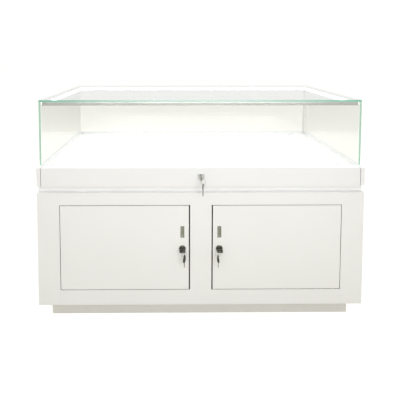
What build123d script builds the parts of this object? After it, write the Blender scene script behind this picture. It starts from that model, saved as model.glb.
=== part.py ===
from build123d import *

import math
import os

# A glass display showcase for a shop: a lacquered base cabinet with two locked doors, a display tray whose
# front board, deck and front pane pull out as one drawer, and a glass case lit by bars under its top pane.
# Millimetres, +Z up, +X right, the drawer side faces -Y. The origin is on the floor under the middle of the
# cabinet. Pieces that come in mirrored pairs are written as two separate solids of one node.

# ---- driving dimensions -------------------------------------------------------------------------------
WIDTH, DEPTH = 1200.0, 600.0
PLINTH_TOP = 60.0
PLINTH_INSET = 38.0
BASE_TOP = 483.0
TRAY_BOTTOM = 508.0
TRAY_TOP = 575.5
GLASS_TOP = 820.0

BOARD = 15.0
FACE = 18.0
GLASS = 8.0

DOOR_INNER, DOOR_OUTER = 39.5, 518.0
DOOR_BOTTOM, DOOR_TOP = 117.0, 437.0
DOOR_GAP, LATCH_GAP = 2.0, 4.7
PIVOT_INSET = 25.0
LOCK_X, LOCK_Z = 68.0, 274.0
PULL_Z = 336.6
TRAY_LOCK_Z = 544.0

NECK_RECESS = 19.0
GLASS_INSET = 1.0
GLASS_FRONT = 32.0
GLASS_REAR = 6.0

# ---- derived places -----------------------------------------------------------------------------------
SIDE = WIDTH / 2
FRONT, REAR = -DEPTH / 2, DEPTH / 2
FACE_REAR = FRONT + FACE
INNER_X, INNER_Y = SIDE - BOARD, REAR - BOARD
PANE_OUT_X = SIDE - GLASS_INSET
PANE_IN_X = PANE_OUT_X - GLASS
PANE_FRONT, PANE_REAR = FRONT + GLASS_FRONT, REAR - GLASS_REAR
PANE_TOP = GLASS_TOP - GLASS


def block(x, y, z):
    """A box between the two x, the two y and the two z values."""
    size = [span[1] - span[0] for span in (x, y, z)]
    middle = [(span[0] + span[1]) / 2 for span in (x, y, z)]
    return Pos(*middle) * Box(*size)


def both(shape):
    """The shape and its mirror image across the middle of the showcase."""
    return [shape, mirror(shape, Plane.YZ)]


def rod(radius, start, end):
    """A cylinder from start to end, which lie along one axis."""
    axis = Vector(*end) - Vector(*start)
    return Plane(origin=start, z_dir=axis) * Cylinder(
        radius, axis.length, align=(Align.CENTER, Align.CENTER, Align.MIN)
    )


def cut(shape, *tools):
    """The shape less every tool in the lists or shapes given."""
    for tool in tools:
        for one in tool if isinstance(tool, list) else [tool]:
            shape = shape - one
    return shape


# ---- screws -------------------------------------------------------------------------------------------
SCREW_R, SCREW_HEAD_R, SCREW_LONG = 1.75, 3.4, 13.0


def screw(head, way, head_depth):
    """A countersunk screw: its flat head's centre, the way it points, and how deep its cone is."""
    plane = Plane(origin=head, z_dir=way)
    cone = Pos(0, 0, head_depth / 2) * Cone(SCREW_HEAD_R, SCREW_R, head_depth)
    shank = Pos(0, 0, SCREW_LONG / 2) * Cylinder(SCREW_R, SCREW_LONG)
    return plane * (cone + shank)


# ---- door pivots --------------------------------------------------------------------------------------
PIVOT_X = DOOR_OUTER - DOOR_GAP - PIVOT_INSET
PIVOT_Y = (FRONT + FACE_REAR) / 2
PIN_R, PIN_LONG = 4.0, 13.0
BUSH_R, BUSH_BORE, BUSH_LONG = 6.0, 4.05, 15.0
COLLAR_R, COLLAR_HIGH = 6.5, 1.8
PLATE_LONG, PLATE_WIDE, PLATE_THICK = 46.0, 12.0, 2.0
PLATE_SCREW = 16.0
DOOR_LOW, DOOR_HIGH = DOOR_BOTTOM + DOOR_GAP, DOOR_TOP - DOOR_GAP


def pivot_plate(rail_z, way):
    """A right-hand pivot plate let into the rail edge at rail_z, with its riveted pin; way is +1 up, -1 down."""
    flat_x = (PIVOT_X - PLATE_LONG / 2, PIVOT_X + PLATE_LONG / 2)
    flat_y = (PIVOT_Y - PLATE_WIDE / 2, PIVOT_Y + PLATE_WIDE / 2)
    plate = block(flat_x, flat_y, sorted((rail_z, rail_z - way * PLATE_THICK)))
    pin = rod(PIN_R, (PIVOT_X, PIVOT_Y, rail_z - way * PLATE_THICK / 2),
              (PIVOT_X, PIVOT_Y, rail_z + way * PIN_LONG))
    collar = rod(COLLAR_R, (PIVOT_X, PIVOT_Y, rail_z), (PIVOT_X, PIVOT_Y, rail_z + way * COLLAR_HIGH))
    return plate + pin + collar


def pivot_screws(rail_z, way):
    """The two screws of one right-hand pivot plate."""
    return [screw((PIVOT_X + step, PIVOT_Y, rail_z), (0, 0, -way), PLATE_THICK)
            for step in (-PLATE_SCREW, PLATE_SCREW)]


RAILS = ((DOOR_BOTTOM, 1), (DOOR_TOP, -1))
RAIL_PLATES = [pivot_plate(z, way) for z, way in RAILS]
RAIL_SCREWS = [one for z, way in RAILS for one in pivot_screws(z, way)]
PIVOT_PLATES = [cut(side, *[both(one) for one in RAIL_SCREWS]) for plate in RAIL_PLATES for side in both(plate)]
PIVOT_SCREWS = [side for one in RAIL_SCREWS for side in both(one)]

# ---- strike plates behind the centre stile ------------------------------------------------------------
STRIKE_THICK, STRIKE_HIGH, STRIKE_REACH, STRIKE_LEG = 1.2, 16.0, 16.0, 10.0


def strike_plate():
    """The right-hand angle that the cam bears on: one leg behind the stile, one along its edge."""
    z = (LOCK_Z - STRIKE_HIGH / 2, LOCK_Z + STRIKE_HIGH / 2)
    back = block((DOOR_INNER - STRIKE_REACH, DOOR_INNER + STRIKE_THICK), (FACE_REAR, FACE_REAR + STRIKE_THICK), z)
    edge = block((DOOR_INNER, DOOR_INNER + STRIKE_THICK), (FACE_REAR - STRIKE_LEG, FACE_REAR + STRIKE_THICK), z)
    return back + edge


STRIKE_SCREW_X = DOOR_INNER - STRIKE_REACH / 2
STRIKE_SCREWS = [side for step in (-4.5, 4.5)
                 for side in both(screw((STRIKE_SCREW_X, FACE_REAR + STRIKE_THICK, LOCK_Z + step), (0, -1, 0), STRIKE_THICK))]
STRIKES = [cut(one, STRIKE_SCREWS) for one in both(strike_plate())]

# ---- drawer runners -----------------------------------------------------------------------------------
RUNNER_LONG, RUNNER_START = 500.0, FRONT + 22.0
RUNNER_Z = 531.0
STEEL = 1.2
RUNNER_Y = (RUNNER_START, RUNNER_START + RUNNER_LONG)
RUNNER_WIDE = 12.7


def channel(web_x, lip_x, half_height):
    """A right-hand steel C-section runner member: its web's outer face, where its lips end, half its height."""
    into = math.copysign(STEEL, lip_x - web_x)
    web = block(sorted((web_x, web_x + into)), RUNNER_Y, (RUNNER_Z - half_height, RUNNER_Z + half_height))
    lips = [block(sorted((web_x, lip_x)), RUNNER_Y, sorted((z, z - math.copysign(STEEL, z - RUNNER_Z))))
            for z in (RUNNER_Z - half_height, RUNNER_Z + half_height)]
    return web + lips


FIXED_RAIL = channel(INNER_X, INNER_X - 9.2, 20.0)
MID_RAIL = channel(INNER_X - 3.3, INNER_X - 10.0, 17.0)
DRAWER_RAIL = channel(INNER_X - RUNNER_WIDE, INNER_X - 5.0, 14.0)
RUNNER_SCREWS = [side for y in (RUNNER_START + 40.0, RUNNER_START + 230.0, RUNNER_START + 460.0)
                 for side in both(screw((INNER_X - STEEL, y, RUNNER_Z), (1, 0, 0), STEEL))]

# ---- locks and keys -----------------------------------------------------------------------------------
PLUG_R, PLUG_BORE, BARREL_R, ESCUTCHEON_R = 7.0, 7.05, 9.5, 13.0
ESCUTCHEON_THICK, PLUG_PROUD, PLUG_LONG = 3.0, 0.6, 24.0
NUT_FLATS, NUT_THICK = 22.0, 4.5
CAM_THICK, CAM_WIDE, CAM_BASE, DOOR_CAM_REACH, DRAWER_CAM_REACH = 2.0, 14.0, 15.0, 38.0, 43.0
CAM_CRANK = 4.1
KEY_THICK, BLADE_WIDE, KEY_HOLE_R, KEY_END = 1.8, 7.0, 3.75, 5.5
HEAD_LONG, HEAD_WIDE, HEAD_THICK, TAB_LONG, KEY_LONG = 25.0, 21.5, 5.0, 11.0, 45.0
BOW_R = 11.0
HOLE_REACH = 24.5
RING_WIRE_R = 0.6
DOOR_RING = (9.8, 6.9, 80.0)
DRAWER_RING = (12.0, 7.3, 43.0)


def lock_housing(x, z):
    """Escutcheon and threaded barrel as one piece, and the nut behind the board as a second."""
    face = rod(ESCUTCHEON_R, (x, FRONT - ESCUTCHEON_THICK, z), (x, FRONT, z))
    face = fillet(face.edges().group_by(Axis.Y)[0], 1.2)
    barrel = rod(BARREL_R, (x, FRONT, z), (x, FRONT + PLUG_LONG - 0.5, z))
    bore = rod(PLUG_BORE, (x, FRONT - 5, z), (x, FRONT + PLUG_LONG + 5, z))
    nut = Plane(origin=(x, FACE_REAR, z), z_dir=(0, 1, 0)) * extrude(
        RegularPolygon(NUT_FLATS / 2, 6, major_radius=False), NUT_THICK
    )
    return [face + barrel - bore, cut(nut, rod(BARREL_R, (x, FRONT, z), (x, FRONT + PLUG_LONG, z)))]


def lock_plug(x, z, upright):
    """The turning plug, with its keyway upright or level."""
    plug = rod(PLUG_R, (x, FRONT - ESCUTCHEON_THICK - PLUG_PROUD, z), (x, FRONT + PLUG_LONG, z))
    tall, thick = BLADE_WIDE / 2 + 0.1, KEY_THICK / 2 + 0.1
    half_x, half_z = (thick, tall) if upright else (tall, thick)
    slot = block((x - half_x, x + half_x), (FRONT - 10, FRONT + 18), (z - half_z, z + half_z))
    return plug - slot


def cam(x, z, way, reach, crank):
    """The flat tongue on the back of a plug; way is the direction that it points, crank brings it forward."""
    back = FRONT + PLUG_LONG
    plane = Plane(origin=(x, back, z), x_dir=way, z_dir=(0, 1, 0))
    root = extrude(Circle(CAM_WIDE / 2), CAM_THICK)
    if crank == 0:
        tongue = Pos(reach / 2, 0, CAM_THICK / 2) * Box(reach, CAM_WIDE, CAM_THICK)
        return plane * (root + tongue)
    base = Pos(CAM_BASE / 2, 0, CAM_THICK / 2) * Box(CAM_BASE, CAM_WIDE, CAM_THICK)
    riser = Pos(CAM_BASE, 0, (CAM_THICK - crank) / 2) * Box(CAM_THICK, CAM_WIDE, CAM_THICK + crank)
    tongue = Pos((CAM_BASE + reach) / 2, 0, CAM_THICK / 2 - crank) * Box(reach - CAM_BASE, CAM_WIDE, CAM_THICK)
    return plane * (root + base + riser + tongue)


def key_blade(start):
    """A flat key blade with its notches, lying along +Y from start, thin along Z."""
    long = KEY_LONG - KEY_END - start
    blade = Pos(0, start + long / 2, 0) * Box(BLADE_WIDE, long, KEY_THICK)
    tip = KEY_LONG - KEY_END
    notches = [Pos(BLADE_WIDE / 2, tip - 4 - 4 * turn, 0) * Rot(0, 0, 45) * Box(1.8, 1.8, KEY_THICK * 2)
               for turn in range(3)]
    return cut(blade, notches)


def metal_key():
    """A stamped key with a round bow. The ring's hole is at the origin and the blade points along +Y."""
    bow = Pos(0, BOW_R - KEY_END, 0) * Cylinder(BOW_R, KEY_THICK)
    return bow + key_blade(BOW_R) - Cylinder(KEY_HOLE_R, KEY_THICK * 2)


def plastic_key():
    """A key as its moulded head, thinner around the ring's hole, and its blade."""
    head = Pos(0, HEAD_LONG / 2 - KEY_END, 0) * Box(HEAD_WIDE, HEAD_LONG, HEAD_THICK)
    head = fillet(head.edges().filter_by(Axis.Z), 6.0)
    head = chamfer(head.faces().sort_by(Axis.Z)[-1].edges() + head.faces().sort_by(Axis.Z)[0].edges(), 0.7)
    spare = (HEAD_THICK - KEY_THICK) / 2
    steps = [Pos(0, TAB_LONG / 2 - KEY_END, turn * (HEAD_THICK - spare) / 2) * Box(HEAD_WIDE * 2, TAB_LONG, spare)
             for turn in (-1, 1)]
    blade = key_blade(HEAD_LONG - KEY_END - 6.0)
    return cut(head, steps, Cylinder(KEY_HOLE_R, HEAD_THICK), blade), blade


def in_lock(x, z, upright):
    """Where a key pushed into a lock's plug lies."""
    hole = (x, FRONT - HOLE_REACH, z)
    return Plane(origin=hole, x_dir=(0, 0, -1), z_dir=(1, 0, 0)) if upright else Plane(origin=hole)


def ring_frame(x, z, ring):
    """The level direction, centre and lowest point of a ring hanging from the key in a lock; ring is its
    radius, how far its centre is off the hole, and which way that is, in degrees from straight ahead."""
    radius, offset, yaw = ring
    level = Vector(math.sin(math.radians(yaw)), -math.cos(math.radians(yaw)), 0)
    drop = math.sqrt(radius ** 2 - offset ** 2)
    centre = Vector(x, FRONT - HOLE_REACH, z) + level * offset - Vector(0, 0, drop)
    return level, centre, centre - Vector(0, 0, radius)


def key_ring(x, z, ring):
    """A wire ring through the hole of the key in a lock."""
    level, centre, _ = ring_frame(x, z, ring)
    return Plane(origin=centre, z_dir=level.cross(Vector(0, 0, 1))) * Torus(ring[0], RING_WIRE_R)


def on_ring(x, z, ring, turn):
    """Where a spare key lies, blade down from the ring's lowest point and turned about its own height."""
    level, _, low = ring_frame(x, z, ring)
    normal = level.rotate(Axis.Z, turn)
    return Plane(origin=low, x_dir=Vector(0, 0, -1).cross(normal), z_dir=normal)


# ---- base cabinet -------------------------------------------------------------------------------------
DIVIDER = BOARD / 2
STOP_START, STOP_END, STOP_THICK, STOP_LAP = 44.0, 430.0, 12.0, 12.0
GROMMET_X, GROMMET_Z, GROMMET_R, CORD_R, FLANGE_R, FLANGE = 520.0, 110.0, 8.0, 4.0, 10.5, 2.0
LEAD_X, LEAD_Y, LEAD_R, LEAD_BORE_R = 580.5, 281.5, 1.8, 3.0
CAM_SLOT_X, CAM_SLOT_Y, CAM_SLOT_DEEP = (-31.0, 9.0), (FRONT + 22.0, FRONT + 28.0), 11.0


def plinth_boards():
    outer_x, outer_y = SIDE - PLINTH_INSET, REAR - PLINTH_INSET
    z = (0, PLINTH_TOP)
    rails = [block((-outer_x, outer_x), sorted((y, y - math.copysign(BOARD, y))), z) for y in (-outer_y, outer_y)]
    ribs_y = (BOARD - outer_y, outer_y - BOARD)
    return rails + both(block((outer_x - BOARD, outer_x), ribs_y, z)) + [block((-DIVIDER, DIVIDER), ribs_y, z)]


def base_boards():
    """Bottom, top, two sides, back and divider of the base cabinet."""
    inside_x, inside_y = (-INNER_X, INNER_X), (FACE_REAR, INNER_Y)
    tall = (PLINTH_TOP, BASE_TOP)
    grommet_hole = rod(GROMMET_R, (GROMMET_X, 0, GROMMET_Z), (GROMMET_X, REAR + 10, GROMMET_Z))
    lead_hole = rod(LEAD_BORE_R, (LEAD_X, LEAD_Y, 0), (LEAD_X, LEAD_Y, BASE_TOP + 10))
    return {
        "base_bottom_and_top": [
            block(inside_x, inside_y, (PLINTH_TOP, PLINTH_TOP + BOARD)),
            block(inside_x, inside_y, (BASE_TOP - BOARD, BASE_TOP)) - lead_hole,
        ],
        "base_sides": both(block((INNER_X, SIDE), (FACE_REAR, REAR), tall)),
        "base_back": block(inside_x, (INNER_Y, REAR), tall) - grommet_hole,
        "base_divider": block((-DIVIDER, DIVIDER), inside_y, (PLINTH_TOP + BOARD, BASE_TOP - BOARD)),
    }


def face_frame():
    """Stiles and rails around the two door openings."""
    y = (FRONT, FACE_REAR)
    rails = [block((-DOOR_OUTER, DOOR_OUTER), y, z) for z in ((PLINTH_TOP, DOOR_BOTTOM), (DOOR_TOP, BASE_TOP))]
    centre = block((-DOOR_INNER, DOOR_INNER), y, (DOOR_BOTTOM, DOOR_TOP))
    return {
        "face_frame_outer_stiles": both(block((DOOR_OUTER, SIDE), y, (PLINTH_TOP, BASE_TOP))),
        "face_frame_centre_stile": cut(centre, STRIKE_SCREWS),
        "face_frame_rails": [cut(rail, PIVOT_PLATES, PIVOT_SCREWS) for rail in rails],
    }


def door_stops():
    """Battens behind the top rail that the doors close against."""
    x = (STOP_START, STOP_END)
    fixed = block(x, (FACE_REAR, FACE_REAR + STOP_THICK), (DOOR_TOP, DOOR_TOP + STOP_LAP))
    lap = block(x, (FACE_REAR + 0.6, FACE_REAR + STOP_THICK), (DOOR_TOP - STOP_LAP, DOOR_TOP))
    return both(fixed + lap)


def mains_grommet():
    """The sleeve in the back where a supply lead comes in, with a flange inside the cabinet."""
    start, end = INNER_Y - FLANGE, REAR
    sleeve = rod(GROMMET_R, (GROMMET_X, start, GROMMET_Z), (GROMMET_X, end, GROMMET_Z))
    flange = rod(FLANGE_R, (GROMMET_X, start, GROMMET_Z), (GROMMET_X, INNER_Y, GROMMET_Z))
    return sleeve + flange - rod(CORD_R, (GROMMET_X, start - 5, GROMMET_Z), (GROMMET_X, end + 5, GROMMET_Z))


# ---- doors --------------------------------------------------------------------------------------------
PULL_WIDE, PULL_HIGH, PULL_DEEP, PULL_WALL, RIM, RIM_PROUD = 12.6, 41.2, 9.0, 0.9, 0.9, 0.7


def flush_pull(x):
    """A folded metal cup with a thin rim, let into the door face around (x, PULL_Z)."""
    def slab(half_x, half_z, y):
        return block((x - half_x, x + half_x), y, (PULL_Z - half_z, PULL_Z + half_z))
    half_x, half_z = PULL_WIDE / 2, PULL_HIGH / 2
    cup = slab(half_x, half_z, (FRONT, FRONT + PULL_DEEP))
    rim = slab(half_x + RIM, half_z + RIM, (FRONT - RIM_PROUD, FRONT))
    inside = slab(half_x - PULL_WALL, half_z - PULL_WALL, (FRONT - 2, FRONT + PULL_DEEP - PULL_WALL))
    return cup, cup + rim - inside


def door(side):
    """The panel, pull, lock housing and bushes of one door; side is -1 for the left, 1 for the right."""
    x = sorted((side * (DOOR_INNER + LATCH_GAP), side * (DOOR_OUTER - DOOR_GAP)))
    panel = block(x, (FRONT, FACE_REAR), (DOOR_LOW, DOOR_HIGH))
    lock_x, pivot_x = side * LOCK_X, side * PIVOT_X
    pocket, pull = flush_pull(lock_x)
    barrel = rod(BARREL_R, (lock_x, FRONT - 5, LOCK_Z), (lock_x, FACE_REAR + 5, LOCK_Z))
    ends = ((DOOR_LOW, DOOR_LOW + BUSH_LONG), (DOOR_HIGH - BUSH_LONG, DOOR_HIGH))
    sleeves = [rod(BUSH_R, (pivot_x, PIVOT_Y, low), (pivot_x, PIVOT_Y, high)) for low, high in ends]
    bores = [rod(BUSH_BORE, (pivot_x, PIVOT_Y, low), (pivot_x, PIVOT_Y, high)) for low, high in ends]
    return {
        "panel": cut(panel, pocket, barrel, sleeves),
        "pull": pull,
        "lock_housing": lock_housing(lock_x, LOCK_Z),
        "bushes": [sleeve - bore for sleeve, bore in zip(sleeves, bores)],
    }


# ---- display tray and drawer --------------------------------------------------------------------------
DRAWER_FRONT_LOW, DRAWER_TOP = TRAY_BOTTOM - 3.0, TRAY_TOP + 0.5
DRAWER_X = INNER_X - 2.0
LEDGE_REAR, DECK_REAR, STRIP_REAR = FRONT + 44.0, INNER_Y - 0.6, INNER_Y - 9.0
DECK_TOP, DECK_LOW = 568.0, 553.0
STRIP_X, STRIP_OUT = INNER_X - 18.0, INNER_X - 0.5
WALL_OUT, WALL_THICK, WALL_LOW = INNER_X - RUNNER_WIDE, 12.0, 514.0
FRONT_PANE_X, FRONT_PANE_TOP = PANE_IN_X - 3.0, PANE_TOP - 3.0


def tray_boards():
    """The recessed base board that makes the neck, and the tray's sides and back."""
    base = block((-SIDE, SIDE), (FRONT + NECK_RECESS, REAR), (BASE_TOP, TRAY_BOTTOM))
    slot = block(CAM_SLOT_X, CAM_SLOT_Y, (TRAY_BOTTOM - CAM_SLOT_DEEP, TRAY_BOTTOM + 5))
    lead_hole = rod(LEAD_BORE_R, (LEAD_X, LEAD_Y, BASE_TOP - 5), (LEAD_X, LEAD_Y, TRAY_BOTTOM + 5))
    z = (TRAY_BOTTOM, TRAY_TOP)
    return {
        "tray_base": cut(base, slot, lead_hole),
        "tray_walls": [cut(one, RUNNER_SCREWS) for one in both(block((INNER_X, SIDE), (FRONT, REAR), z))]
        + [block((-INNER_X, INNER_X), (INNER_Y, REAR), z)],
    }


def drawer_frame():
    """The upright walls beside the runners, the strips over the runners that continue the deck, and the back."""
    inside = WALL_OUT - WALL_THICK
    wall = block((WALL_OUT - WALL_THICK, WALL_OUT), (FACE_REAR, STRIP_REAR), (WALL_LOW, DECK_LOW))
    strip = block((STRIP_X, STRIP_OUT), (LEDGE_REAR, STRIP_REAR), (DECK_LOW, DECK_TOP))
    back = block((-inside, inside), (STRIP_REAR - WALL_THICK, STRIP_REAR), (WALL_LOW, DECK_LOW))
    return both(wall) + both(strip) + [back]


def drawer_boards():
    front = block((-DRAWER_X, DRAWER_X), (FRONT, FACE_REAR), (DRAWER_FRONT_LOW, DRAWER_TOP))
    barrel = rod(BARREL_R, (0, FRONT - 5, TRAY_LOCK_Z), (0, FACE_REAR + 5, TRAY_LOCK_Z))
    ledge = block((-DRAWER_X, DRAWER_X), (FACE_REAR, LEDGE_REAR), (DECK_LOW, DRAWER_TOP))
    nut_room = block((-16, 16), (FACE_REAR - 1, FACE_REAR + 12), (DECK_LOW - 1, DECK_LOW + 5))
    return {
        "drawer_front": front - barrel,
        "drawer_ledge": ledge - nut_room,
        "drawer_frame": drawer_frame(),
        "drawer_deck": block((-STRIP_X, STRIP_X), (LEDGE_REAR, DECK_REAR), (DECK_LOW, DECK_TOP)),
        "drawer_glass": block((-FRONT_PANE_X, FRONT_PANE_X), (PANE_FRONT, PANE_FRONT + GLASS),
                              (DRAWER_TOP, FRONT_PANE_TOP)),
        "drawer_runner_rails": both(DRAWER_RAIL),
        "drawer_lock_housing": lock_housing(0, TRAY_LOCK_Z),
    }


def glass_case():
    """The fixed panes: two sides, the back between them, and the top over all three."""
    y, z = (PANE_FRONT, PANE_REAR), (TRAY_TOP, PANE_TOP)
    return {
        "glass_side_panes": both(block((PANE_IN_X, PANE_OUT_X), y, z)),
        "glass_back": block((-PANE_IN_X, PANE_IN_X), (PANE_REAR - GLASS, PANE_REAR), z),
        "glass_top": block((-PANE_OUT_X, PANE_OUT_X), y, (PANE_TOP, GLASS_TOP)),
    }


# ---- light bars and their supply ----------------------------------------------------------------------
BAR_HIGH, BAR_DEEP, BAR_WALL = 14.0, 14.0, 1.2
LENS_THICK, LENS_PROUD, LENS_GAP = 2.4, 0.5, 0.1
STRIP_WIDE, STRIP_THICK = 8.0, 1.6
BAR_X = PANE_IN_X - 1.0
BAR_FRONT, BAR_REAR = PANE_FRONT + GLASS + 2.0, PANE_REAR - GLASS
DRIVER_SIZE = (28.0, 45.0, 120.0)
DRIVER_LOW = 300.0
DUCT_HALF, DUCT_WALL = 3.5, 1.0


def light_bar(length, lens_inset):
    """Housing, lens and light strip of one bar: along X, its back at y = 0, shining towards +Y, its top at z = 0."""
    half = length / 2
    shell = block((-half, half), (0, BAR_DEEP), (-BAR_HIGH, 0))
    room = block((-half - 1, half + 1), (BAR_WALL, BAR_DEEP + 1), (BAR_WALL - BAR_HIGH, -BAR_WALL))
    lens_half = half - lens_inset
    low, high = BAR_WALL - BAR_HIGH + LENS_GAP, -BAR_WALL - LENS_GAP
    lens = block((-lens_half, lens_half), (BAR_DEEP + LENS_PROUD - LENS_THICK, BAR_DEEP + LENS_PROUD), (low, high))
    lens = fillet(lens.edges().filter_by(Axis.X).group_by(Axis.Y)[-1], 1.6)
    middle = (low + high) / 2
    strip = block((-lens_half, lens_half), (BAR_WALL, BAR_WALL + STRIP_THICK),
                  (middle - STRIP_WIDE / 2, middle + STRIP_WIDE / 2))
    return shell - room, lens, strip


def light_bars():
    """Front, back, left and right bars under the top pane."""
    across = light_bar(2 * BAR_X, BAR_DEEP)
    along = light_bar(BAR_REAR - BAR_FRONT - 2 * BAR_DEEP, 1.0)
    middle_y = (BAR_FRONT + BAR_REAR) / 2
    places = (
        (across, Pos(0, BAR_FRONT, PANE_TOP)),
        (across, Pos(0, BAR_REAR, PANE_TOP) * Rot(0, 0, 180)),
        (along, Pos(-PANE_IN_X, middle_y, PANE_TOP) * Rot(0, 0, -90)),
        (along, Pos(PANE_IN_X, middle_y, PANE_TOP) * Rot(0, 0, 90)),
    )
    housings, lenses, strips = ([place * bar[turn] for bar, place in places] for turn in range(3))
    return {"led_housings": housings, "led_diffusers": lenses, "led_strips": strips}


def led_supply():
    """The driver in the right cupboard, and the lead up the rear corner in its duct."""
    driver = block((INNER_X - DRIVER_SIZE[0], INNER_X), (INNER_Y - DRIVER_SIZE[1], INNER_Y),
                   (DRIVER_LOW, DRIVER_LOW + DRIVER_SIZE[2]))
    duct_z = (TRAY_BOTTOM, PANE_TOP - BAR_HIGH)

    def tube(half):
        return block((LEAD_X - half, LEAD_X + half), (LEAD_Y - half, LEAD_Y + half), duct_z)
    lead = rod(LEAD_R, (LEAD_X, LEAD_Y, DRIVER_LOW + DRIVER_SIZE[2]), (LEAD_X, LEAD_Y, duct_z[1]))
    return {
        "led_driver": fillet(driver.edges().filter_by(Axis.Z), 2.0),
        "wire_duct": tube(DUCT_HALF) - tube(DUCT_HALF - DUCT_WALL),
        "led_lead": lead,
    }


# ---- the three locks ----------------------------------------------------------------------------------
DOOR_SPARE_TURN = {-1: -6.0, 1: -7.0}
DRAWER_SPARE_TURN = 30.0


def door_lock(side):
    """The turning pieces and hanging spare of a door's lock, unlocked: keyway level, cam up."""
    x = side * LOCK_X
    radius, offset, yaw = DOOR_RING
    ring = (radius, offset, -side * yaw)
    head, blade = plastic_key()
    used, spare = in_lock(x, LOCK_Z, False), on_ring(x, LOCK_Z, ring, DOOR_SPARE_TURN[side])
    return {
        "plug": lock_plug(x, LOCK_Z, False),
        "cam": cam(x, LOCK_Z, (0, 0, 1), DOOR_CAM_REACH, CAM_CRANK),
        "key_head": used * head,
        "key_blade": used * blade,
        "key_ring": key_ring(x, LOCK_Z, ring),
        "spare_head": spare * head,
        "spare_blade": spare * blade,
    }


def drawer_lock():
    """The turning pieces and hanging spare of the drawer's lock, unlocked: keyway upright, cam level."""
    return {
        "plug": lock_plug(0, TRAY_LOCK_Z, True),
        "cam": cam(0, TRAY_LOCK_Z, (-1, 0, 0), DRAWER_CAM_REACH, 0),
        "key": in_lock(0, TRAY_LOCK_Z, True) * metal_key(),
        "key_ring": key_ring(0, TRAY_LOCK_Z, DRAWER_RING),
        "spare_key": on_ring(0, TRAY_LOCK_Z, DRAWER_RING, DRAWER_SPARE_TURN) * metal_key(),
    }


# ---- every node ---------------------------------------------------------------------------------------
nodes = {
    "plinth_boards": plinth_boards(),
    **base_boards(),
    **face_frame(),
    "door_stops": door_stops(),
    "mains_grommet": mains_grommet(),
    "pivot_plates": PIVOT_PLATES,
    "strike_plates": STRIKES,
    "cabinet_screws": PIVOT_SCREWS + STRIKE_SCREWS + RUNNER_SCREWS,
    **tray_boards(),
    "runner_fixed_rails": [cut(one, RUNNER_SCREWS) for one in both(FIXED_RAIL)],
    "runner_mid_rails": both(MID_RAIL),
    **drawer_boards(),
    **glass_case(),
    **light_bars(),
    **led_supply(),
    **{f"door_left_{name}": shape for name, shape in door(-1).items()},
    **{f"door_right_{name}": shape for name, shape in door(1).items()},
    **{f"left_lock_{name}": shape for name, shape in door_lock(-1).items()},
    **{f"right_lock_{name}": shape for name, shape in door_lock(1).items()},
    **{f"drawer_lock_{name}": shape for name, shape in drawer_lock().items()},
}

os.makedirs("parts", exist_ok=True)
for name, shape in nodes.items():
    solids = [solid for one in (shape if isinstance(shape, list) else [shape]) for solid in one.solids()]
    export_step(Compound(solids) if len(solids) > 1 else solids[0], f"parts/{name}.step")
print(len(nodes), "nodes")
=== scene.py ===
import math

import bmesh
import bpy
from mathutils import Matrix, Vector


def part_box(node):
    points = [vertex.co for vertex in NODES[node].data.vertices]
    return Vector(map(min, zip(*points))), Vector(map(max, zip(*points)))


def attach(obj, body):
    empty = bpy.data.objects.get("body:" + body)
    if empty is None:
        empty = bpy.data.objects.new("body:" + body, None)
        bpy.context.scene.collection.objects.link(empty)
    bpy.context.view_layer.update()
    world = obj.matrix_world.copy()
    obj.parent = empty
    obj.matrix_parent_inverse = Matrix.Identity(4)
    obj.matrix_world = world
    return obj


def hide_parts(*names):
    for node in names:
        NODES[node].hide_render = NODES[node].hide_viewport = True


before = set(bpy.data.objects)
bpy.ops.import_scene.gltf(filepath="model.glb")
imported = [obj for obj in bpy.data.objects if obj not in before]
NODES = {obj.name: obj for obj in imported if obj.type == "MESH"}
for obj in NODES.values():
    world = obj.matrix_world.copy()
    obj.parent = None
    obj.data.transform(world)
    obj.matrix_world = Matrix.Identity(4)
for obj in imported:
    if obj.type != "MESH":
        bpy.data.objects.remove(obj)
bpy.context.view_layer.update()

# The looks of a glass display showcase: a finish for every CAD node, arrised glass panes and split key rings
# in place of the plain CAD ones, and a pale studio around it. Lengths are in metres.
MM = 0.001
TOP_LOW, TOP_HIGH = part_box("glass_top")
SIDE_LOW, SIDE_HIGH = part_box("glass_side_panes")
GLASS_THICK = TOP_HIGH[2] - TOP_LOW[2]


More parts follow.
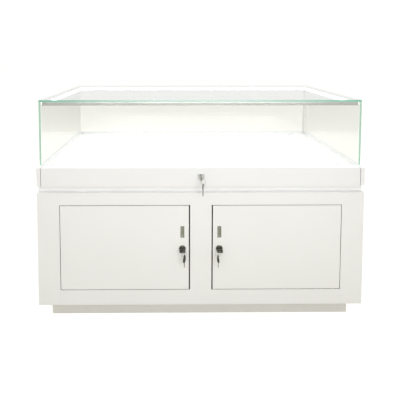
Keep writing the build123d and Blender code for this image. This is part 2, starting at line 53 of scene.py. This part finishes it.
# ---- node graphs --------------------------------------------------------------------------------------
class Graph:
    """One material's node graph, with the few building blocks that the finishes share."""

    def __init__(self, name):
        self.material = bpy.data.materials.new(name)
        self.material.use_nodes = True
        self.tree = self.material.node_tree
        self.tree.nodes.clear()
        self.place = self.node("ShaderNodeTexCoord").outputs["Object"]

    def node(self, kind, inputs=None, **settings):
        """A new node, with each input set to a value or linked from another node's output."""
        made = self.tree.nodes.new(kind)
        for key, value in settings.items():
            setattr(made, key, value)
        for key, value in (inputs or {}).items():
            if isinstance(value, bpy.types.NodeSocket):
                self.tree.links.new(value, made.inputs[key])
            else:
                made.inputs[key].default_value = value
        return made

    def stretched(self, x, y, z):
        """Object coordinates scaled along each axis, which draws a pattern out along the smaller ones."""
        return self.node("ShaderNodeMapping", {"Vector": self.place, "Scale": (x, y, z)}).outputs[0]

    def noise(self, scale, detail=2.0, where=None):
        """Noise from 0 to 1, at scale cells to the metre."""
        inputs = {"Vector": where or self.place, "Scale": scale, "Detail": detail}
        return self.node("ShaderNodeTexNoise", inputs).outputs["Fac"]

    def span(self, value, start, end, low, high):
        """value from start to end becomes low to high."""
        inputs = {"Value": value, "From Min": start, "From Max": end, "To Min": low, "To Max": high}
        return self.node("ShaderNodeMapRange", inputs).outputs[0]

    def math(self, operation, a, b=0.0):
        return self.node("ShaderNodeMath", {0: a, 1: b}, operation=operation).outputs[0]

    def mix(self, factor, a, b):
        """Colour a where factor is 0, b where it is 1."""
        made = self.node("ShaderNodeMix", data_type="RGBA")
        for socket, value in zip((made.inputs[0], made.inputs[6], made.inputs[7]), (factor, a, b)):
            if isinstance(value, bpy.types.NodeSocket):
                self.tree.links.new(value, socket)
            elif isinstance(value, tuple):
                socket.default_value = (*value, 1.0)
            else:
                socket.default_value = value
        return made.outputs[2]

    def bump(self, height, depth):
        """A normal for heights from 0 to 1 that are depth metres deep."""
        return self.node("ShaderNodeBump", {"Height": height, "Distance": depth, "Strength": 1.0}).outputs[0]

    def axis(self, name):
        """The object coordinate along one axis, X, Y or Z."""
        return self.node("ShaderNodeSeparateXYZ", {0: self.place}).outputs[name]

    def facing_up(self, least):
        """1 where the normal's upward share is more than least, 0 elsewhere."""
        normal = self.node("ShaderNodeNewGeometry").outputs["Normal"]
        rise = self.node("ShaderNodeSeparateXYZ", {0: normal}).outputs["Z"]
        return self.math("GREATER_THAN", rise, least)

    def see_through(self):
        """What passes straight through clear glass."""
        return self.node("ShaderNodeBsdfTransparent", {"Color": CLEAR_TINT}).outputs[0]

    def principled(self, **inputs):
        """A Principled shader, with input names written with underscores and colours as three numbers."""
        names = {key.replace("_", " "): value for key, value in inputs.items()}
        for key, value in names.items():
            if isinstance(value, tuple):
                names[key] = (*value, 1.0)
        return self.node("ShaderNodeBsdfPrincipled", names).outputs[0]

    def finish(self, shader):
        """The material, with shader as its surface."""
        self.node("ShaderNodeOutputMaterial", {"Surface": shader})
        return self.material


# ---- finishes -----------------------------------------------------------------------------------------
CLEAR_TINT = (0.965, 0.968, 0.962, 1.0)
SCUFF_HEIGHT, SCUFF = 60 * MM, (0.36, 0.34, 0.30)
# Painted shade for narrow gaps: how far the occlusion looks, and the near-black it blends in.
GAP_SHADE_REACH, PAINTED_GAP_SHADE = 14 * MM, (0.02, 0.02, 0.016)
EMITTER_STEP = 16.7 * MM


def lacquer(name, bright, dark, gloss, scuffs_below=None, gap_shade=None):
    """Sprayed white lacquer: faint cloudiness, orange peel and wiped-over gloss, with scuffs low down and
    painted shade in the narrow gaps if asked."""
    g = Graph(name)
    cloud = g.noise(3.1, 4.0)
    wiped = g.noise(22.0, 5.0, g.stretched(1.0, 1.0, 3.0))
    colour = g.mix(g.span(cloud, 0.35, 0.7, 0.0, 1.0), bright, dark)
    roughness = g.span(wiped, 0.2, 0.8, gloss, gloss + 0.05)
    if scuffs_below:
        low = g.span(g.axis("Z"), 0.0, scuffs_below, 1.0, 0.0)
        marks = g.span(g.noise(110.0, 6.0, g.stretched(0.35, 0.35, 1.6)), 0.6, 0.68, 0.0, 0.22)
        colour = g.mix(g.math("MULTIPLY", low, marks), colour, SCUFF)
        roughness = g.math("ADD", roughness, g.math("MULTIPLY", low, 0.15))
    # Painted shade: the lacquer darkens where ambient occlusion finds a narrow gap or corner.
    if gap_shade:
        open_air = g.node("ShaderNodeAmbientOcclusion", {"Distance": gap_shade}, samples=8).outputs["AO"]
        colour = g.mix(g.span(open_air, 0.12, 0.46, 1.0, 0.0), colour, PAINTED_GAP_SHADE)
    return g.finish(g.principled(
        Base_Color=colour, Roughness=roughness, Normal=g.bump(g.noise(420.0, 1.0), 0.02 * MM),
        Coat_Weight=0.18, Coat_Roughness=0.12,
    ))


def glass_face(name):
    """Clear float glass: see-through, a little grey, and with a reflection that grows at low angles."""
    g = Graph(name)
    fresnel = g.node("ShaderNodeFresnel", {"IOR": 1.5}).outputs[0]
    outer = g.math("SUBTRACT", 1.0, g.node("ShaderNodeNewGeometry").outputs["Backfacing"])
    twice = g.math("DIVIDE", g.math("MULTIPLY", fresnel, 2.0), g.math("ADD", fresnel, 1.0))
    film = g.span(g.noise(7.0, 5.0), 0.45, 0.75, 0.0, 0.012)
    share = g.math("ADD", g.math("MULTIPLY", twice, outer), film)
    wiped = g.span(g.noise(30.0, 3.0), 0.4, 0.7, 0.0, 0.05)
    gloss = g.principled(Base_Color=(0.93, 0.94, 0.93), Metallic=1.0, Roughness=wiped)
    return g.finish(g.node("ShaderNodeMixShader", {0: share, 1: g.see_through(), 2: gloss}).outputs[0])


def glass_edge(name):
    """A polished glass edge with its light painted in: green from the light carried along the pane, deeper on
    the top pane and paler towards the middle of the pane, and painted shade darkest where it faces up. From
    inside the pane it is clear."""
    g = Graph(name)
    along = g.math("ABSOLUTE", g.axis("X"))
    ends = g.span(along, 0.15, 0.6, 0.0, 1.0)
    streak = g.span(g.noise(14.0, 3.0, g.stretched(1.0, 1.0, 40.0)), 0.3, 0.7, 0.0, 1.0)
    side = g.mix(streak, (0.34, 0.58, 0.44), (0.50, 0.69, 0.57))
    # Painted light: the top pane's edges are a deeper green, and every edge is paler towards the middle.
    across = g.math("GREATER_THAN", g.axis("Z"), TOP_LOW[2])
    deep = g.mix(across, side, g.mix(streak, (0.20, 0.50, 0.375), (0.27, 0.57, 0.44)))
    pale = g.mix(streak, (0.56, 0.76, 0.69), (0.66, 0.82, 0.76))
    # Painted shade: edge faces that look up are a near-black green.
    colour = g.mix(g.facing_up(0.7), g.mix(ends, pale, deep), (0.09, 0.24, 0.16))
    polish = g.bump(g.noise(260.0, 1.0), 0.02 * MM)
    solid = g.principled(
        Base_Color=colour, Roughness=g.span(g.noise(50.0), 0.3, 0.7, 0.08, 0.2),
        Normal=polish, Coat_Weight=0.6, Coat_Roughness=0.05,
    )
    inside = g.node("ShaderNodeNewGeometry").outputs["Backfacing"]
    return g.finish(g.node("ShaderNodeMixShader", {0: inside, 1: solid, 2: g.see_through()}).outputs[0])


def metal(name, bright, dark, rough_low, rough_high, brushed=(1, 1, 1), depth=0.01):
    """Metal with a faint patina and fine marks depth millimetres deep, drawn out by brushed if asked."""
    g = Graph(name)
    patina = g.noise(55.0, 5.0)
    lines = g.noise(300.0, 2.0, g.stretched(*brushed))
    colour = g.mix(g.span(patina, 0.35, 0.7, 0.0, 1.0), bright, dark)
    roughness = g.span(lines, 0.3, 0.7, rough_low, rough_high)
    return g.finish(g.principled(
        Base_Color=colour, Metallic=1.0, Roughness=roughness, Normal=g.bump(lines, depth * MM),
    ))


def extrusion(name):
    """Satin anodised profile with fine lines along it, and the white tape that bonds its top to the glass."""
    g = Graph(name)
    lines = g.noise(300.0, 2.0, g.stretched(1, 1, 30))
    cloud = g.span(g.noise(40.0, 4.0), 0.3, 0.7, 0.0, 1.0)
    anodised = g.principled(
        Base_Color=g.mix(cloud, (0.62, 0.625, 0.60), (0.56, 0.565, 0.545)), Metallic=1.0,
        Roughness=g.span(lines, 0.3, 0.7, 0.28, 0.42), Normal=g.bump(lines, 0.01 * MM),
    )
    foam = g.principled(Base_Color=(0.86, 0.86, 0.85), Roughness=g.span(g.noise(400.0), 0.3, 0.7, 0.5, 0.7))
    return g.finish(g.node("ShaderNodeMixShader", {0: g.facing_up(0.9), 1: anodised, 2: foam}).outputs[0])


def plastic(name, bright, dark, rough_low, rough_high):
    """Moulded plastic with a fine spark grain."""
    g = Graph(name)
    colour = g.mix(g.span(g.noise(40.0, 4.0), 0.35, 0.7, 0.0, 1.0), bright, dark)
    roughness = g.span(g.noise(120.0, 3.0), 0.3, 0.7, rough_low, rough_high)
    return g.finish(g.principled(
        Base_Color=colour, Roughness=roughness, Normal=g.bump(g.noise(900.0, 1.0), 0.02 * MM),
    ))


def glowing(name, strength):
    """An opal lens lit from behind, a little brighter over each emitter."""
    g = Graph(name)
    along = g.math("ADD", g.axis("X"), g.axis("Y"))
    ripple = g.math("SINE", g.math("MULTIPLY", along, 2 * math.pi / EMITTER_STEP))
    level = g.span(ripple, -1.0, 1.0, strength * 0.94, strength * 1.06)
    return g.finish(g.principled(
        Base_Color=(0.92, 0.93, 0.95), Roughness=0.35, Emission_Color=(0.96, 0.985, 1.0),
        Emission_Strength=level, Normal=g.bump(g.noise(700.0, 1.0), 0.01 * MM),
    ))


def tape(name):
    """A white light strip with a yellow emitter and a band of copper pads at every step."""
    g = Graph(name)
    along = g.math("ADD", g.axis("X"), g.axis("Y"))
    step = g.math("FRACT", g.math("DIVIDE", along, EMITTER_STEP))
    emitter = g.math("LESS_THAN", g.math("ABSOLUTE", g.math("SUBTRACT", step, 0.5)), 0.16)
    pad = g.math("LESS_THAN", g.math("ABSOLUTE", g.math("SUBTRACT", step, 0.92)), 0.05)
    colour = g.mix(pad, g.mix(emitter, (0.84, 0.84, 0.80), (0.85, 0.68, 0.22)), (0.60, 0.32, 0.12))
    return g.finish(g.principled(Base_Color=colour, Roughness=g.span(g.noise(90.0), 0.3, 0.7, 0.3, 0.5)))


FINISH = {
    "board": lacquer("white_lacquer", (0.887, 0.889, 0.892), (0.872, 0.873, 0.874), 0.30),
    # The door and face-frame lacquer carries painted shade in its gaps.
    "door_board": lacquer("door_lacquer", (0.885, 0.886, 0.878), (0.87, 0.87, 0.86), 0.30, gap_shade=GAP_SHADE_REACH),
    "deck": lacquer("deck_lacquer", (0.90, 0.90, 0.892), (0.89, 0.89, 0.88), 0.26),
    "inside": lacquer("inner_board", (0.80, 0.80, 0.785), (0.76, 0.76, 0.745), 0.42),
    # Painted shade: the recessed plinth gets a darker, warmer copy of the white lacquer.
    "plinth": lacquer("plinth_lacquer", (0.80, 0.79, 0.745), (0.785, 0.775, 0.73), 0.36, SCUFF_HEIGHT),
    "face": glass_face("clear_glass"),
    "edge": glass_edge("green_glass_edge"),
    "aluminium": extrusion("satin_aluminium"),
    "chrome": metal("lock_chrome", (0.72, 0.75, 0.76), (0.62, 0.65, 0.66), 0.10, 0.22),
    # Painted shade: the door locks get a darker copy of the lock chrome.
    "dark_chrome": metal("door_lock_chrome", (0.38, 0.385, 0.33), (0.26, 0.265, 0.225), 0.14, 0.3),
    "satin": metal("satin_nickel", (0.35, 0.37, 0.32), (0.29, 0.305, 0.26), 0.25, 0.42, (30, 1, 1), 0.02),
    "steel": metal("zinc_steel", (0.58, 0.59, 0.60), (0.46, 0.47, 0.49), 0.24, 0.42, (1, 0.1, 1)),
    "nickel": metal("key_nickel", (0.36, 0.355, 0.31), (0.25, 0.245, 0.20), 0.2, 0.4, (1, 1, 0.2)),
    # Painted shade: the drawer keys get a darker copy of the key nickel.
    "dark_nickel": metal("shaded_key_nickel", (0.20, 0.20, 0.175), (0.13, 0.13, 0.11), 0.22, 0.42, (1, 1, 0.2)),
    "black": plastic("black_plastic", (0.026, 0.029, 0.020), (0.017, 0.019, 0.013), 0.4, 0.58),
    "white": plastic("white_plastic", (0.80, 0.80, 0.785), (0.75, 0.75, 0.73), 0.25, 0.4),
    "acetal": plastic("acetal", (0.74, 0.73, 0.69), (0.68, 0.67, 0.62), 0.3, 0.45),
    "glow": glowing("lit_diffuser", 5.0),
    "tape": tape("led_tape"),
}


def dress(finish, *names, edge=0.0):
    """Gives CAD nodes a finish, and softens their sharp edges by edge millimetres."""
    for name in names:
        node = NODES[name]
        node.data.materials.clear()
        node.data.materials.append(FINISH[finish])
        if edge:
            soften(node, edge)


def soften(obj, edge):
    """Rounds the sharp edges by edge millimetres, and keeps the large faces flat in shading."""
    weld = obj.modifiers.new("weld", "WELD")
    weld.merge_threshold = 0.005 * MM
    bevel = obj.modifiers.new("edges", "BEVEL")
    bevel.width = edge * MM
    bevel.segments = 2
    bevel.limit_method = "ANGLE"
    bevel.angle_limit = math.radians(40)
    obj.modifiers.new("normals", "WEIGHTED_NORMAL")


dress("board", "base_sides", "tray_base", "drawer_front", "drawer_ledge", edge=0.7)
dress("board", "base_back", "tray_walls")
dress("door_board", "face_frame_outer_stiles", "face_frame_centre_stile", "face_frame_rails", edge=0.7)
dress("deck", "drawer_deck", edge=0.2)
dress("deck", "drawer_frame")
dress("inside", "base_bottom_and_top", "base_divider", "door_stops", edge=0.5)
dress("plinth", "plinth_boards")
dress("aluminium", "led_housings", edge=0.25)
dress("glow", "led_diffusers")
dress("tape", "led_strips")
dress("white", "wire_duct", "led_driver", edge=0.4)
dress("white", "led_lead")
dress("black", "mains_grommet", edge=0.3)
dress("steel", "runner_fixed_rails", "runner_mid_rails", "drawer_runner_rails", edge=0.2)
dress("steel", "pivot_plates", "strike_plates", "cabinet_screws", edge=0.2)
for side in ("left", "right"):
    dress("door_board", f"door_{side}_panel", edge=0.7)
    dress("satin", f"door_{side}_pull", edge=0.25)
    dress("acetal", f"door_{side}_bushes", edge=0.2)
    dress("dark_chrome", f"door_{side}_lock_housing", f"{side}_lock_plug", edge=0.25)
    dress("black", f"{side}_lock_key_head", f"{side}_lock_spare_head", edge=0.3)
    dress("nickel", f"{side}_lock_key_blade", f"{side}_lock_spare_blade", edge=0.15)
dress("chrome", "drawer_lock_housing", "drawer_lock_plug", edge=0.25)
dress("dark_nickel", "drawer_lock_key", "drawer_lock_spare_key", edge=0.15)
for lock in ("left", "right", "drawer"):
    dress("steel", f"{lock}_lock_cam", edge=0.2)
    dress("nickel", f"{lock}_lock_key_ring", edge=0.15)


# ---- glass panes --------------------------------------------------------------------------------------
ARRIS, BOND = 0.8 * MM, 0.05 * MM


def looks_along(face, ways):
    return any(face.normal.dot(Vector(way)) > 0.5 for way in ways)


def pane(name, low, high, body, node, free):
    """A pane between two corners, less the bond line. Its large faces and its bonded edges are clear. The
    edges that look out along the free directions are arrised and green."""
    low, high = [a + BOND for a in low], [b - BOND for b in high]
    size = [b - a for a, b in zip(low, high)]
    thin = size.index(min(size))
    mesh = bpy.data.meshes.new(name)
    form = bmesh.new()
    bmesh.ops.create_cube(form, size=1.0)
    for vertex in form.verts:
        vertex.co = Vector([a + (c + 0.5) * s for a, c, s in zip(low, vertex.co, size)])
    form.normal_update()
    outer = [face for face in form.faces if looks_along(face, free)]
    edges = list({edge for face in outer for edge in face.edges})
    if edges:
        bmesh.ops.bevel(form, geom=edges, offset=ARRIS, segments=2, affect="EDGES", clamp_overlap=True)
    form.normal_update()
    for face in form.faces:
        large = abs(face.normal[thin]) > 0.99
        face.material_index = 1 if looks_along(face, free) and not large else 0
        face.smooth = False
    form.to_mesh(mesh)
    form.free()
    mesh.materials.append(FINISH["face"])
    mesh.materials.append(FINISH["edge"])
    made = bpy.data.objects.new(name, mesh)
    bpy.context.scene.collection.objects.link(made)
    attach(made, body)
    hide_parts(node)


LEFT, RIGHT, AHEAD, BEHIND, UP = (-1, 0, 0), (1, 0, 0), (0, -1, 0), (0, 1, 0), (0, 0, 1)
pane("pane_top", TOP_LOW, TOP_HIGH, "cabinet", "glass_top", (LEFT, RIGHT, AHEAD, BEHIND))
pane("pane_back", *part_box("glass_back"), "cabinet", "glass_back", ())
pane("pane_front", *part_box("drawer_glass"), "drawer", "drawer_glass", (LEFT, RIGHT, UP))
left_high = (SIDE_LOW[0] + GLASS_THICK, SIDE_HIGH[1], SIDE_HIGH[2])
right_low = (SIDE_HIGH[0] - GLASS_THICK, SIDE_LOW[1], SIDE_LOW[2])
pane("pane_left", SIDE_LOW, left_high, "cabinet", "glass_side_panes", (AHEAD, BEHIND, UP))
pane("pane_right", right_low, SIDE_HIGH, "cabinet", "glass_side_panes", (AHEAD, BEHIND, UP))


# ---- split rings --------------------------------------------------------------------------------------
WIRE, TURNS, STEPS = 0.3 * MM, 2, 96
START_ANGLE, CROSSING = math.radians(40), 8


def split_ring(lock, side):
    """A key ring of two turns of thin wire, in place of the plain one. side is which way it leans. The turns
    lie side by side, and the wire crosses between them in 2 / CROSSING of a turn."""
    node = f"{lock}_lock_key_ring"
    low, high = (Vector(corner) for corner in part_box(node))
    centre = (low + high) / 2
    radius = (high.z - low.z) / 2 - 2 * WIRE
    across = min(((high.x - low.x) / 2 - 2 * WIRE) / radius, 1.0)
    level = Vector((side * across, -math.sqrt(1 - across ** 2), 0))
    normal = level.cross(Vector((0, 0, 1)))
    curve = bpy.data.curves.new(node, "CURVE")
    curve.dimensions = "3D"
    curve.bevel_depth = WIRE
    curve.bevel_resolution = 3
    curve.use_fill_caps = True
    spline = curve.splines.new("POLY")
    spline.points.add(TURNS * STEPS)
    for index, point in enumerate(spline.points):
        turn = index / STEPS
        angle = 2 * math.pi * turn + START_ANGLE
        rise = WIRE * max(-1.0, min(1.0, (turn - TURNS / 2) * CROSSING))
        place = centre + radius * (math.cos(angle) * level + Vector((0, 0, math.sin(angle)))) + rise * normal
        point.co = (*place, 1.0)
    curve.materials.append(FINISH["nickel"])
    made = bpy.data.objects.new(f"{lock}_split_ring", curve)
    bpy.context.scene.collection.objects.link(made)
    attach(made, f"{lock}_keys")
    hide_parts(node)


split_ring("left", 1)
split_ring("right", -1)
split_ring("drawer", 1)


# ---- floor, light and camera --------------------------------------------------------------------------
# The background has to read white without washing out the object, so the floor and the world are brighter to
# the camera and to reflections than the light they shed. The object's own materials don't do this.
FLOOR_SIZE, FLOOR_TO_CAMERA, FLOOR_TO_GLOSS = 60.0, 0.85, 0.4
WORLD_LIGHT, WORLD_TO_GLOSS, WORLD_TO_CAMERA = 0.55, 0.9, 1.07


def lay_floor():
    """A pale matt floor."""
    bpy.ops.mesh.primitive_plane_add(size=FLOOR_SIZE, location=(0, 0, 0))
    floor = bpy.context.object
    floor.name = "floor"
    g = Graph("floor")
    cloud = g.span(g.noise(1.5, 3.0), 0.3, 0.7, 0.0, 1.0)
    tone = g.mix(cloud, (0.37, 0.35, 0.28), (0.355, 0.335, 0.265))
    matt = g.node("ShaderNodeBsdfDiffuse", {"Color": tone}).outputs[0]
    path = g.node("ShaderNodeLightPath").outputs
    seen = g.math("MULTIPLY", path["Is Camera Ray"], FLOOR_TO_CAMERA)
    level = g.math("ADD", seen, g.math("MULTIPLY", path["Is Glossy Ray"], FLOOR_TO_GLOSS))
    glow = g.node("ShaderNodeEmission", {"Color": (1, 1, 1, 1), "Strength": level}).outputs[0]
    floor.data.materials.append(g.finish(g.node("ShaderNodeAddShader", {0: matt, 1: glow}).outputs[0]))


def light_world():
    """An even white surround."""
    world = bpy.data.worlds.new("studio")
    bpy.context.scene.world = world
    world.use_nodes = True
    nodes, links = world.node_tree.nodes, world.node_tree.links
    path = nodes.new("ShaderNodeLightPath")
    to_gloss, to_camera = nodes.new("ShaderNodeMix"), nodes.new("ShaderNodeMix")
    to_gloss.inputs["A"].default_value = WORLD_LIGHT
    to_gloss.inputs["B"].default_value = WORLD_TO_GLOSS
    to_camera.inputs["B"].default_value = WORLD_TO_CAMERA
    links.new(path.outputs["Is Glossy Ray"], to_gloss.inputs["Factor"])
    links.new(path.outputs["Is Camera Ray"], to_camera.inputs["Factor"])
    links.new(to_gloss.outputs["Result"], to_camera.inputs["A"])
    links.new(to_camera.outputs["Result"], nodes["Background"].inputs["Strength"])
    nodes["Background"].inputs["Color"].default_value = (1.0, 1.0, 1.0, 1.0)


def softbox(name, place, aim, size, watts, mirrored=True):
    """A rectangular lamp aimed at a point. One that isn't mirrored doesn't show in glass or gloss."""
    lamp = bpy.data.lights.new(name, "AREA")
    lamp.shape = "RECTANGLE"
    lamp.size, lamp.size_y = size
    lamp.energy = watts
    made = bpy.data.objects.new(name, lamp)
    made.location = place
    made.visible_glossy = mirrored
    made.rotation_euler = (Vector(aim) - Vector(place)).to_track_quat("-Z", "Y").to_euler()
    bpy.context.scene.collection.objects.link(made)


lay_floor()
light_world()
softbox("key", (0.1, -2.1, 1.25), (0, -0.3, 0.55), (2.0, 0.7), 23.5)
softbox("fill", (0, -2.3, 0.5), (0, -0.3, 0.45), (2.4, 0.6), 1.8, mirrored=False)
softbox("top", (0, 0.2, 2.6), (0, 0, 0.5), (2.4, 1.8), 46)
softbox("left", (-2.9, 0.4, 1.3), (0, 0.1, 0.4), (1.6, 1.2), 14, mirrored=False)
softbox("right", (2.9, 0.4, 1.3), (0, 0.1, 0.4), (1.6, 1.2), 14, mirrored=False)
softbox("back", (0, 3.0, 1.3), (0, 0, 0.4), (2.2, 1.2), 18, mirrored=False)

# The camera looks down a little and to the right, and the shift takes up the rest of the downward look, which
# keeps the uprights nearly parallel.
LOOK_DOWN, LOOK_RIGHT = math.radians(3.0), math.radians(0.419)
lens = bpy.data.cameras.new("camera")
lens.sensor_width = 36.0
lens.lens = 32.59
lens.shift_x, lens.shift_y = 0.0578, -0.3261
camera = bpy.data.objects.new("camera", lens)
camera.location = (-0.0977, -1.5981, 1.0023)
camera.rotation_euler = (math.radians(90) - LOOK_DOWN, 0, -LOOK_RIGHT)
bpy.context.scene.collection.objects.link(camera)
bpy.context.scene.camera = camera
bpy.context.scene.view_settings.view_transform = "Standard"
